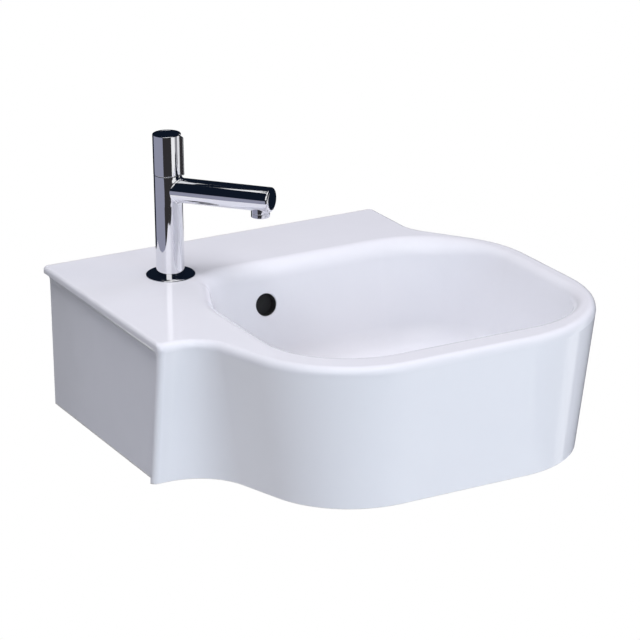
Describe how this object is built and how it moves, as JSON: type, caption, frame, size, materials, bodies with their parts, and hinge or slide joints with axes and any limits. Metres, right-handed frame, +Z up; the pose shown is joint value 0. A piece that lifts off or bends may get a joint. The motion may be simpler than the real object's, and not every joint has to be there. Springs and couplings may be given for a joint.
{
  "type": "wall hung basin",
  "caption": "Wall hung ceramic hand basin with a cut-away rear corner, offset bowl, pillar tap with side spout and turning handle, and a push plug waste.",
  "frame": {"origin": "midway between the two wall fixing holes, on the wall's face", "axes": "+X along the wall to the right seen from the front, +Y into the wall, +Z up"},
  "size_m": [0.4545, 0.4404, 0.346],
  "materials": {
    "vitreous_china": "white glazed ceramic, opaque",
    "chrome_plate": "bright chrome on brass",
    "brass": "machined",
    "steel": "plain",
    "rubber": "matt",
    "valve_ceramic": "lapped ceramic, opaque",
    "white_plastic": "moulded"
  },
  "bodies": {
    "basin": {"basin_body": "vitreous_china", "tap_body": "chrome_plate", "tap_base_flange": "chrome_plate", "tap_base_seal": "rubber", "tap_shank": "brass", "tap_clamp_washer": "rubber", "tap_clamp_plate": "steel", "tap_back_nut": "brass", "headwork_body": "brass", "headwork_seat_seal": "rubber", "fixed_ceramic_disc": "valve_ceramic", "headwork_waist_seal": "rubber", "aerator_housing": "chrome_plate", "aerator_insert": "white_plastic", "aerator_seal": "rubber", "waste_body": "chrome_plate", "waste_upper_seal": "rubber", "waste_lower_seal": "rubber", "waste_slip_washer": "white_plastic", "waste_back_nut": "brass", "click_cartridge": "brass"},
    "knob": {"tap_knob": "chrome_plate", "knob_cap": "chrome_plate", "knob_screw": "steel", "tap_spindle": "brass", "turning_ceramic_disc": "valve_ceramic"},
    "plug": {"waste_plug": "chrome_plate", "plug_seal": "rubber", "plug_stem": "brass"}
  },
  "joints": [
    {"name": "knob_turn", "type": "hinge", "parent": "basin", "child": "knob", "pos_m": [-0.095, -0.092, 0.1695], "axis": [0, 0, 1], "range_deg": [0, 90]},
    {"name": "plug_slide", "type": "slide", "parent": "basin", "child": "plug", "axis": [0, 0, 1], "range_m": [-0.008, 0]}
  ]
}
